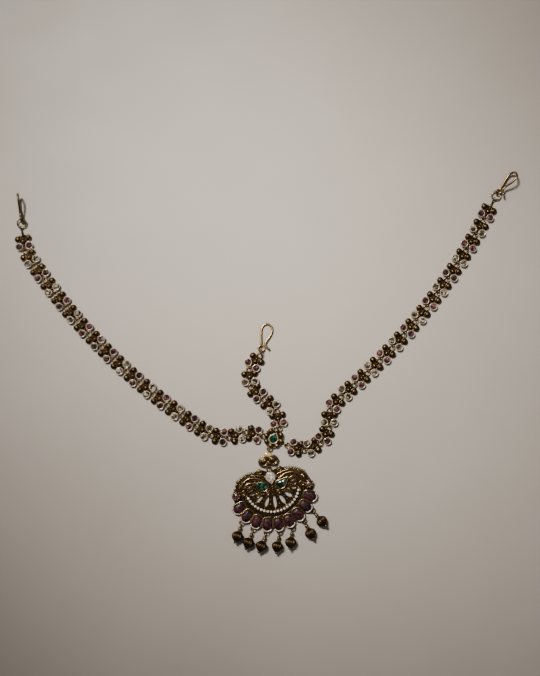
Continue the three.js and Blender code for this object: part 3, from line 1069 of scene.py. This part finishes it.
@dataclass
class FanPendant:
    """The fan pendant: stones, scrolls and rosettes over a row of beads and nine ruby petals.

    Its frame has the middle of the arcs at its origin and +Y towards the bail.
    """

    plate_top: float = 1.1
    # Direction of each opening from straight down, its near and far end, and half its width
    openings: tuple[tuple[float, float, float, float], ...] = (
        (0.0, 4.6, 11.3, 1.05), (26.0, 5.4, 11.2, 1.1), (50.0, 6.4, 11.4, 1.15), (72.0, 8.2, 11.6, 0.9))
    rim: float = 22.2
    petals: int = 9
    petal_step: float = 15.9
    # Middle, radius and first direction of each scroll of the right side
    scrolls: tuple[tuple[float, float, float, float], ...] = (
        (13.9, -1.6, 1.35, 200.0), (7.6, -4.0, 1.15, 120.0), (12.3, -4.6, 1.0, 300.0),
        (15.1, 1.4, 1.0, 60.0), (2.6, -3.9, 1.0, 20.0), (2.4, 3.6, 0.9, 90.0))
    bead_row: float = 12.9
    bead_half: float = 68.0
    beads: int = 20
    bead_size: float = 1.4
    seed_row: float = 14.25
    seeds: int = 44
    neck_ring_at: float = 7.2
    hanger_out: float = 0.55
    hanger_height: float = 1.3
    ring_radius: float = RING_RADIUS
    ring_height: float = RING_HEIGHT
    wire: float = RING_WIRE

    def build(self) -> Metalwork:
        """Make the pendant.

        Returns:
            The finished work.
        """
        work = Metalwork()
        self._plate(work)
        self._fan(work)
        self._rows(work)
        self._stones(work)
        for side in (1, -1):
            self._side(work, side)
        neck = Vector((0.0, self.neck_ring_at, self.ring_height))
        work.ring(neck, self.ring_radius, self.wire, RAISED, steps=RING_STEPS)
        return work

    def _loops(self) -> list[tuple[Outline, float]]:
        """The openings of the lower field, as a half flower of loops.

        Returns:
            Outline and direction of each opening.
        """
        loops = []
        for angle, near, far, half in self.openings:
            corners = flat([(0.0, -near), (-half, -near - 1.8), (-half, -far + 1.0), (0.0, -far),
                            (half, -far + 1.0), (half, -near - 1.8)])
            for side in (1, -1) if angle else (1,):
                loops.append(([turned(angle * side) @ p for p in curve(corners, 4, True)], angle * side))
        return loops

    def _plate(self, work: Metalwork) -> None:
        """Add the pierced plate, with a wire round each opening and granules between.

        Args:
            work: The pendant so far.
        """
        right = flat([(1.6, 6.4), (4.8, 7.9), (7.4, 6.6), (11.0, 6.3), (14.0, 5.0), (16.0, 3.2),
                      (18.0, -0.6)])
        left = [Vector((-p.x, p.y, 0.0)) for p in reversed(right)]
        arc = [polar(19.6, -13.0 - 154.0 * i / 24.0) for i in range(25)]
        loops = self._loops()
        work.plate(right + arc + left, [loop for loop, _ in loops], 0.0, self.plate_top)
        for loop, angle in loops:
            work.wire(resized(loop, 0.98, self.plate_top + 0.1), 0.72, CAST, True)
            foot = turned(angle) @ Vector((0.0, -11.35, self.plate_top + 0.3))
            work.bead(foot, 0.5, RIM)
        for angle, radius in ((13.0, 9.6), (38.0, 9.8), (61.0, 10.2), (13.0, 7.4), (38.0, 7.9)):
            for side in (1, -1):
                at = polar(radius, -90.0 + angle * side)
                at.z = self.plate_top + 0.3
                work.bead(at, 0.45, RAISED)

    def _fan(self, work: Metalwork) -> None:
        """Add the ruby petals, each with a painted highlight along the outer end of its rim, and a ring under
        each of the middle ones.

        Args:
            work: The pendant so far.
        """
        corners = [(-1.7, -15.6), (-2.45, -18.2), (-2.5, -20.6), (-1.1, -self.rim), (1.1, -self.rim),
                   (2.5, -20.6), (2.45, -18.2), (1.7, -15.6)]
        outline = curve(flat(corners), 4, True)
        petal = Metalwork()
        petal.setting(outline, 1.9, 0.5)
        petal.dome(resized(outline, 0.84, 0.0), 1.95, 2.8, finish=Finish.RUBY, foot=1.6)
        # A pale wire inside the outer end of each petal's rim: a painted highlight.
        painted_highlight_lip = [p for p in resized(outline, 0.9, 2.25) if p.y < -20.6]
        painted_highlight_lip.sort(key=lambda p: p.x)
        petal.wire(painted_highlight_lip, 0.46, POLISHED_AND_HIGHLIT, finish=Finish.PEARL_AND_HIGHLIGHT)
        hanger = Metalwork()
        at = Vector((0.0, -self.rim - self.hanger_out, self.hanger_height))
        hanger.ring(at, self.ring_radius, self.wire, RAISED, steps=RING_STEPS)
        for i in range(self.petals):
            turn = turned((i - (self.petals - 1) / 2) * self.petal_step)
            work.add(petal, turn)
            if 0 < i < self.petals - 1:
                work.add(hanger, turn)

    def _rows(self, work: Metalwork) -> None:
        """Add the row of pale beads, the row of small granules and the wires along them.

        Args:
            work: The pendant so far.
        """
        for i in range(self.beads):
            at = polar(self.bead_row, -90.0 + self.bead_half * (2.0 * i / (self.beads - 1) - 1.0))
            work.bead(at + Vector((0.0, 0.0, 1.75)), 0.5 * self.bead_size, (0.2, 1.0), Finish.PEARL_AND_HIGHLIGHT, 14)
        for i in range(self.seeds):
            at = polar(self.seed_row, -90.0 + 76.0 * (2.0 * i / (self.seeds - 1) - 1.0))
            work.bead(at + Vector((0.0, 0.0, 1.4)), 0.42, CAST)
        for radius, height, thickness in ((12.0, 1.25, 0.4), (15.2, 1.5, 0.6)):
            arc = [polar(radius, -90.0 + 78.0 * (i / 24.0 - 1.0)) for i in range(49)]
            work.wire([Vector((p.x, p.y, height)) for p in arc], thickness, CAST)

    def _stones(self, work: Metalwork) -> None:
        """Add the clear drop in the middle and the two green paisleys.

        Args:
            work: The pendant so far.
        """
        drop = teardrop(Vector((0.0, 0.2, 0.0)), 5.6, 2.25, 90.0, 28)
        work.setting(drop, 2.3, 0.55, finish=Finish.WORN_AND_HIGHLIT)
        work.cut_stone(resized(drop, 0.84, 0.0), 2.3, 3.2, Finish.CRYSTAL)
        for side in (1, -1):
            corners = [(1.6, -0.6), (2.6, -2.4), (4.4, -2.9), (6.2, -1.9), (7.4, 0.2), (8.4, 2.4), (6.0, 1.9),
                       (3.6, 1.7), (2.0, 0.9)]
            outline = curve(flat(corners, side), 4, True)
            work.setting(outline, 2.1, 0.5)
            work.dome(resized(outline, 0.85, 0.0), 2.15, 3.0, finish=Finish.GREEN, foot=1.8)

    def _rosette(self, work: Metalwork, at: Vector, radius: float, top: float, glass: Finish) -> None:
        """Add a rosette: a small stone in a ring of granules.

        Args:
            work: The pendant so far.
            at: Its middle.
            radius: Its radius.
            top: Height of its top.
            glass: Finish of its stone.
        """
        work.dome(circle(radius * 0.92, at.x, at.y), top - 1.0, top - 0.5, HOLLOW)
        granules = 9
        for i in range(granules):
            spot = at + polar(radius * 0.78, 360.0 * i / granules)
            work.bead(spot + Vector((0.0, 0.0, top - 0.75)), radius * 0.25, RAISED)
        inner = circle(radius * 0.6, at.x, at.y)
        work.wire(resized(inner, 1.0, top - 0.4), 0.3, RIM, True)
        work.dome(resized(inner, 0.9, 0.0), top - 0.4, top, finish=glass, foot=top - 0.7)

    def _side(self, work: Metalwork, side: int) -> None:
        """Add one side's rosettes, brow wires and ribbed edging.

        Args:
            work: The pendant so far.
            side: 1 or -1.
        """
        self._rosette(work, Vector((10.4 * side, -0.6, 0.0)), 1.7, 2.5, Finish.RUBY)
        self._rosette(work, Vector((17.4 * side, -2.7, 0.0)), 2.25, 2.9, Finish.PINK)
        self._rosette(work, Vector((4.8 * side, 6.6, 0.0)), 1.45, 2.4, Finish.GOLD)
        brows = (
            ([(3.6, 2.2), (6.8, 3.9), (10.3, 4.3), (13.2, 2.9), (14.4, 1.4)], 0.75),
            ([(7.9, 1.3), (9.8, 2.2), (12.0, 1.6), (13.2, 0.2)], 0.6),
            ([(3.2, 4.4), (6.0, 5.2), (9.0, 5.6)], 0.55),
        )
        for points, thickness in brows:
            line = curve(flat(points, side, self.plate_top + 0.5), 6)
            work.wire(line, thickness, POLISHED_AND_HIGHLIT)
        ribs = 10
        for i in range(ribs):
            along = 7.2 + 0.92 * i
            top = 7.1 - 0.055 * (along - 8.0) ** 2
            lean = 0.07 * (along - 7.0)
            rib = flat([(along, top - 2.1), (along + 0.2 + lean, top - 0.9), (along + 0.3 + lean, top)], side)
            for point, height in zip(rib, (1.2, 1.6, 1.15)):
                point.z = height
            work.wire(curve(rib, 4), 0.74, RIM, taper=0.6)
        self._fill(work, side)
        edge = [(15.9, 3.6), (16.9, 1.9), (17.6, 0.1)]
        for x, y in edge:
            work.bead(Vector((x * side, y, 1.5)), 0.62, RAISED)

    def _fill(self, work: Metalwork, side: int) -> None:
        """Fill one side's ground with scrolls and rows of granules.

        Args:
            work: The pendant so far.
            side: 1 or -1.
        """
        ground = self.plate_top + 0.2
        turns = 14
        for x, y, size, start in self.scrolls:
            spiral = [Vector((x, y, ground)) + polar(size * (0.15 + 0.85 * k / turns), start + 38.0 * k)
                      for k in range(turns + 1)]
            work.wire(curve([Vector((p.x * side, p.y, p.z)) for p in spiral], 2), 0.42, RIM)
            work.bead(Vector((x * side, y, ground + 0.2)), 0.36, RIM, steps=10)
        rows = (
            ([(3.6, 3.2), (6.8, 4.9), (10.2, 5.2), (13.6, 3.7), (15.4, 2.2)], 16, 0.38),
            ([(8.6, 0.9), (9.9, 1.4), (11.6, 0.9), (12.6, -0.2)], 7, 0.34),
            ([(1.0, -1.6), (2.3, -3.4), (4.3, -3.9), (6.6, -2.9), (8.2, -0.8)], 14, 0.36),
            ([(5.6, 2.5), (7.4, 3.0), (9.4, 3.1), (11.6, 2.4)], 8, 0.34),
        )
        for points, count, radius in rows:
            line = curve(flat(points, side, ground), 8)
            for i in range(count):
                work.bead(line[round(i * (len(line) - 1) / (count - 1))], radius, RAISED, steps=10)
        for height, radius in ((-1.1, 0.5), (-2.2, 0.42), (-3.2, 0.36)):
            if side == 1:
                work.bead(Vector((0.0, height, ground + 0.1)), radius, RIM, steps=10)


@dataclass
class Drop:
    """A drop: an eye, a cap, and a ribbed bead with a pointed end, along +X from its eye."""

    bead: float = 2.65
    bead_out: float = 5.7
    end: float = 9.3
    ribs: int = 14
    eye_radius: float = 0.83
    eye_wire: float = 0.36

    def build(self) -> Metalwork:
        """Make the drop.

        Returns:
            The finished work.
        """
        work = Metalwork()
        work.ring(Vector(), self.eye_radius, self.eye_wire, RAISED, upright=0.0)
        cap = [(0.75, 0.2), (0.95, 0.62), (1.4, 0.9), (1.95, 0.88), (2.4, 0.6), (2.7, 0.5)]
        work.lathe(cap, RAISED, steps=20)
        collar = [(2.6, 0.55), (2.75, 0.85), (3.0, 0.95), (3.25, 0.85), (3.35, 0.7)]
        work.lathe(collar, RIM, steps=20)
        outline = flat([(3.1, 0.6), (3.6, 1.5), (4.5, 2.4), (self.bead_out, self.bead), (6.9, 2.2),
                        (7.8, 1.3), (8.4, 0.7)])
        profile = [(p.x, p.y) for p in curve(outline, 4)]
        work.lathe(profile, (0.0, 0.5), self.ribs, 0.17, 84)
        tip = [(8.2, 0.4), (8.35, 0.72), (8.6, 0.78), (8.9, 0.6), (9.15, 0.35), (self.end, 0.08)]
        work.lathe(tip, RAISED, steps=16)
        return work


@dataclass
class Hook:
    """A hook of round wire bent to a long S, in its own plane, its eye at the origin."""

    wire: float = 1.1
    eye_radius: float = 1.4
    eye_wire: float = 0.85
    shape: tuple[tuple[float, float], ...] = (
        (0.0, 1.2), (0.0, 8.3), (1.2, 10.9), (3.2, 11.5), (5.2, 9.6), (4.6, 6.6), (2.2, 2.9), (2.3, 0.9),
        (3.7, -0.5))

    def build(self) -> Metalwork:
        """Make the hook.

        Returns:
            The finished work.
        """
        work = Metalwork()
        work.wire(curve(flat(list(self.shape)), 8), self.wire, (0.5, 0.9), sides=14)
        work.ring(Vector(), self.eye_radius, self.eye_wire, (0.5, 0.9), steps=28, sides=12)
        return work


@dataclass
class WireRing:
    """A loose ring of round wire."""

    radius: float
    wire: float

    def build(self) -> Metalwork:
        """Make the ring.

        Returns:
            The finished work.
        """
        work = Metalwork()
        work.ring(Vector(), self.radius, self.wire, (0.4, 0.9), steps=32, sides=12)
        return work


@dataclass
class StrandEnd:
    """Where a strand ends: its last flower's middle and heading, and the last ring's middle."""

    middle: Vector
    heading: float
    pivot: Vector


@dataclass
class Strand:
    """A strand of flower links that leaves the junction and bends as it lies.

    Attributes:
        name: Name of its flowers.
        digits: Digits of a flower's number.
        leaves: Direction in which it leaves the junction, degrees.
        start: From the junction's middle to the first ring's middle.
        bends: For each bend: how many links, the first one's heading, and each next one's turn.
        has_hook_eye: Whether its last flower has a standing eye for a ring.
    """

    name: str
    digits: int
    leaves: float
    start: float
    bends: tuple[tuple[int, float, float], ...]
    has_hook_eye: bool

    def lay(self, links: dict[tuple[Finish, bool], Metalwork]) -> StrandEnd:
        """Put the strand's flowers in place.

        Args:
            links: The finished flowers, by their glass and whether they are a strand's last.

        Returns:
            Where the strand ends.
        """
        pattern = FlowerLink(Finish.PINK)
        pivot = polar(self.start, self.leaves)
        total = sum(count for count, _, _ in self.bends)
        headings = [first + turn * i for count, first, turn in self.bends for i in range(count)]
        middle = pivot
        for number, heading in enumerate(headings, 1):
            middle = pivot + polar(pattern.reach, heading)
            glass = Finish.PINK if number % 2 else Finish.CLEAR
            slot = Slot.RUBY_LINKS if number % 2 else Slot.CLEAR_LINKS
            work = links[glass, self.has_hook_eye and number == total]
            node = f"{self.name}_{number:0{self.digits}d}"
            work.piece(f"{node}_dressed", Matrix.Translation(middle) @ turned(heading + 180.0), node, slot)
            pivot = pivot + polar(pattern.pitch, heading)
        return StrandEnd(middle, headings[-1], pivot)


@dataclass(frozen=True)
class HookPose:
    """How a side hook lies: its roll, where it points and where its ring lies, in degrees."""

    roll: float
    heading: float
    ring_heading: float


@dataclass
class Jewel:
    """The whole jewel as it lies on the table."""

    ring_radius: float = RING_RADIUS
    ring_height: float = RING_HEIGHT
    wire: float = RING_WIRE
    big_ring_radius: float = 2.1
    big_ring_wire: float = 0.7
    end_eye_out: float = END_EYE_OUT
    tall_ring_radius: float = 1.75
    tall_ring_rest: float = 0.5
    middle_eye_height: float = 1.3
    left_hook: HookPose = HookPose(80.0, 98.0, 80.0)
    right_hook: HookPose = HookPose(50.0, 58.0, 60.0)
    centre_hook_heading: float = 90.0
    pendant_at: tuple[float, float] = (-1.0, -21.65)
    pendant_turn: float = 9.8
    drop_headings: tuple[float, ...] = (-109.0, -112.0, -112.0, -101.0, -98.0, -62.0, -49.0)
    left: Strand = field(default_factory=lambda: Strand(
        "left_flower", 2, 168.0, JUNCTION_RING_AT,
        ((1, 168.0, 0.0), (1, 198.0, 0.0), (1, 172.0, 0.0), (15, 147.0, -1.65),
         (1, 101.0, 0.0)), True))
    right: Strand = field(default_factory=lambda: Strand(
        "right_flower", 2, -28.0, LOOSE_RING_AT,
        ((1, -16.0, 0.0), (1, 23.0, 0.0), (1, 61.0, 0.0), (1, 88.0, 0.0), (1, 50.0, 0.0),
         (14, 41.0, 1.65)), True))
    centre: Strand = field(default_factory=lambda: Strand(
        "centre_flower", 1, 60.0, JUNCTION_RING_AT,
        ((1, 99.0, 0.0), (1, 138.0, 0.0), (1, 137.0, 0.0), (1, 95.0, 0.0), (1, 53.0, 0.0)), False))

    def build(self) -> None:
        """Make every piece and put it in place."""
        links = {(glass, last): FlowerLink(glass, last).build()
                 for glass in (Finish.PINK, Finish.CLEAR) for last in (False, True)}
        left_end = self.left.lay(links)
        right_end = self.right.lay(links)
        centre_end = self.centre.lay(links)
        junction = JunctionFlower()
        junction.build().piece("junction_flower_dressed", Matrix(), "junction_flower", Slot.GREEN_SETTING)
        loose = polar(junction.loose_ring_at, junction.right)
        loose.z = self.ring_height
        small_ring = WireRing(self.ring_radius, self.wire).build()
        small_ring.piece("junction_ring_dressed", Matrix.Translation(loose), "junction_ring", Slot.GOLD)
        hook = Hook()
        work = hook.build()
        self._side_hook("left", left_end, self.left_hook, hook, work)
        self._side_hook("right", right_end, self.right_hook, hook, work)
        self._middle_hook(centre_end, self.centre_hook_heading, hook, work)
        self._pendant(junction)

    def _side_hook(self, side: str, end: StrandEnd, pose: HookPose, hook: Hook, work: Metalwork) -> None:
        """Put a side strand's ring and hook in place.

        Args:
            side: left or right.
            end: Where the strand ends.
            pose: How the hook and its ring lie.
            hook: The hook's sizes.
            work: The finished hook.
        """
        eye_height = hook.eye_radius * math.sin(math.radians(pose.roll)) + 0.5 * hook.eye_wire
        rise = math.degrees(math.asin((eye_height - self.ring_height) / (2.0 * self.big_ring_radius)))
        middle = end.middle + polar(self.end_eye_out, end.heading)
        middle += polar(self.big_ring_radius, pose.ring_heading)
        lift = Vector((0.0, 0.0, 0.5 * (eye_height + self.ring_height)))
        ring = WireRing(self.big_ring_radius, self.big_ring_wire).build()
        place = Matrix.Translation(middle + lift) @ turned(pose.ring_heading) @ turned(-rise, "Y")
        ring.piece(f"{side}_ring_dressed", place, f"{side}_ring", Slot.GOLD)
        eye = middle + polar(self.big_ring_radius, pose.heading) + Vector((0.0, 0.0, eye_height))
        place = Matrix.Translation(eye) @ turned(pose.heading - 90.0) @ turned(-pose.roll, "Y")
        work.piece(f"{side}_hook_dressed", place, f"{side}_hook", Slot.GOLD)

    def _middle_hook(self, end: StrandEnd, heading: float, hook: Hook, work: Metalwork) -> None:
        """Put the middle strand's standing ring and lying hook in place.

        Args:
            end: Where the strand ends.
            heading: Where the hook points, degrees.
            hook: The hook's sizes.
            work: The finished hook.
        """
        wire_at = end.pivot + polar(self.ring_radius, end.heading)
        middle = wire_at + polar(self.tall_ring_rest, heading)
        middle.z = self.tall_ring_radius + 0.5 * self.wire
        ring = WireRing(self.tall_ring_radius, self.wire).build()
        place = Matrix.Translation(middle) @ turned(heading) @ turned(90.0, "X")
        ring.piece("centre_ring_dressed", place, "centre_ring", Slot.GOLD)
        eye = wire_at + polar(2.0 * self.tall_ring_rest + hook.eye_radius, heading)
        eye.z = self.middle_eye_height
        top = max(y for _, y in hook.shape)
        dip = math.degrees(math.asin((self.middle_eye_height - 0.5 * hook.wire) / top))
        place = Matrix.Translation(eye) @ turned(heading - 90.0) @ turned(-dip, "X")
        work.piece("centre_hook_dressed", place, "centre_hook", Slot.GOLD)

    def _pendant(self, junction: JunctionFlower) -> None:
        """Put the pendant, the bail and the drops in place.

        Args:
            junction: The junction flower, whose lower ring the bail hangs on.
        """
        fan = FanPendant()
        place = Matrix.Translation(Vector((*self.pendant_at, 0.0))) @ turned(self.pendant_turn)
        fan.build().piece("pendant_dressed", place, "pendant", Slot.RUBY_FAN)
        bail = Bail()
        seat = Vector((*bail.at, 0.0))
        upper = place.inverted() @ polar(junction.ring_at + self.ring_radius, junction.down) - seat
        lower = Vector((0.0, fan.neck_ring_at + self.ring_radius, 0.0)) - seat
        work = bail.build(upper, lower)
        work.piece("bail_dressed", place @ Matrix.Translation(seat), "bail", Slot.GOLD)
        drop = Drop()
        work = drop.build()
        pitch = math.degrees(math.asin((drop.bead - fan.hanger_height) / drop.bead_out))
        for i, heading in enumerate(self.drop_headings):
            radial = -90.0 + (i + 1 - (fan.petals - 1) / 2) * fan.petal_step
            turn = heading - self.pendant_turn
            at = polar(fan.rim + fan.hanger_out, radial) + polar(self.ring_radius, turn)
            at.z = fan.hanger_height
            hang = place @ Matrix.Translation(at) @ turned(turn) @ turned(-pitch, "Y")
            work.piece(f"drop_{i + 1}_dressed", hang, f"drop_{i + 1}", Slot.GOLD)


@dataclass(frozen=True)
class SoftLamp:
    """A round soft lamp: its name, its place and width in metres, its power in watts and its colour."""

    name: str
    place: tuple[float, float, float]
    width: float
    power: float
    colour: Colour


@dataclass
class Studio:
    """The pale table, the soft light and the camera."""

    floor_size: float = 6.0
    aim: tuple[float, float] = (-1.8, 47.6)
    seen_height: float = 322.5
    elevation: float = 86.5
    lens: float = 60.0
    film: float = 36.0
    key_place: tuple[float, float, float] = (-0.30, 0.50, 0.95)
    key_aim: tuple[float, float] = (8.0, 86.0)
    key_power: float = 100.0
    key_cone: float = 22.2
    key_radius: float = 0.14
    key_colour: Colour = (1.0, 0.945, 0.875)
    soft_lamps: tuple[SoftLamp, ...] = (
        SoftLamp("fill_light", (0.8, -0.3, 1.0), 0.8, 0.9, (0.95, 0.97, 1.0)),
        SoftLamp("window_light", (-0.60, 0.50, 0.9), 0.6, 1.0, (1.0, 0.96, 0.90)))
    room_colour: Colour = (0.95, 0.96, 1.0)
    room_strength: float = 0.06

    def build(self) -> None:
        """Set the table, the lights and the camera up."""
        self._floor()
        self._key_light()
        for soft_lamp in self.soft_lamps:
            self._soft_light(soft_lamp)
        world = bpy.data.worlds.new("soft_room")
        world.use_nodes = True
        sky = world.node_tree.nodes["Background"]
        sky.inputs["Color"].default_value = (*self.room_colour, 1.0)
        sky.inputs["Strength"].default_value = self.room_strength
        bpy.context.scene.world = world
        self._camera()

    def _floor(self) -> None:
        """Lay the table."""
        half = 0.5 * self.floor_size
        mesh = bpy.data.meshes.new("table_top")
        corners = [(-half, -half, 0.0), (half, -half, 0.0), (half, half, 0.0), (-half, half, 0.0)]
        mesh.from_pydata(corners, [], [(0, 1, 2, 3)])
        finish = TableTop()
        finish.make()
        mesh.materials.append(bpy.data.materials[finish.name])
        table = bpy.data.objects.new("table_top", mesh)
        bpy.context.scene.collection.objects.link(table)

    def _key_light(self) -> None:
        """Hang the soft spot whose light fades away from the middle of the table."""
        lamp = bpy.data.lights.new("key_light", "SPOT")
        lamp.energy = self.key_power
        lamp.color = self.key_colour
        lamp.spot_size = math.radians(self.key_cone)
        lamp.spot_blend = 1.0
        lamp.shadow_soft_size = self.key_radius
        self._hang(lamp, self.key_place, self.key_aim)

    def _hang(self, lamp: bpy.types.Light, place: tuple[float, float, float],
              aim: tuple[float, float]) -> None:
        """Hang a lamp so that it looks at a point of the table.

        Args:
            lamp: The lamp.
            place: Where it hangs, in metres.
            aim: The point of the table, in millimetres.
        """
        holder = bpy.data.objects.new(lamp.name, lamp)
        holder.location = place
        look = Vector((aim[0] * MM, aim[1] * MM, 0.0)) - Vector(place)
        holder.rotation_euler = look.to_track_quat("-Z", "Y").to_euler()
        bpy.context.scene.collection.objects.link(holder)

    def _soft_light(self, soft_lamp: SoftLamp) -> None:
        """Hang a soft lamp that looks at the jewel.

        Args:
            soft_lamp: The lamp's values.
        """
        lamp = bpy.data.lights.new(soft_lamp.name, "AREA")
        lamp.shape = "DISK"
        lamp.size = soft_lamp.width
        lamp.energy = soft_lamp.power
        lamp.color = soft_lamp.colour
        self._hang(lamp, soft_lamp.place, self.aim)

    def _camera(self) -> None:
        """Set the camera up at the photograph's angle, so that its frame covers the seen height."""
        lens = bpy.data.cameras.new("camera")
        lens.lens = self.lens
        lens.sensor_width = self.film
        lens.sensor_fit = "AUTO"
        lens.clip_start = 0.01
        camera = bpy.data.objects.new("camera", lens)
        long_side = max(FRAME_WIDTH, FRAME_HEIGHT)
        distance = self.seen_height * MM * self.lens / (self.film * FRAME_HEIGHT / long_side)
        slope = math.radians(self.elevation)
        away = Vector((0.0, -math.cos(slope), math.sin(slope)))
        camera.location = Vector((self.aim[0] * MM, self.aim[1] * MM, 0.0)) + away * distance
        camera.rotation_euler = (math.radians(90.0 - self.elevation), 0.0, 0.0)
        bpy.context.scene.collection.objects.link(camera)
        bpy.context.scene.camera = camera


def main() -> None:
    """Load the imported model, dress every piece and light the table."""
    logging.basicConfig(level=logging.INFO, format="%(message)s")
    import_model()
    for finish in MATERIALS.values():
        finish.make()
    Jewel().build()
    Studio().build()
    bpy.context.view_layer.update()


if __name__ == "__main__":
    main()
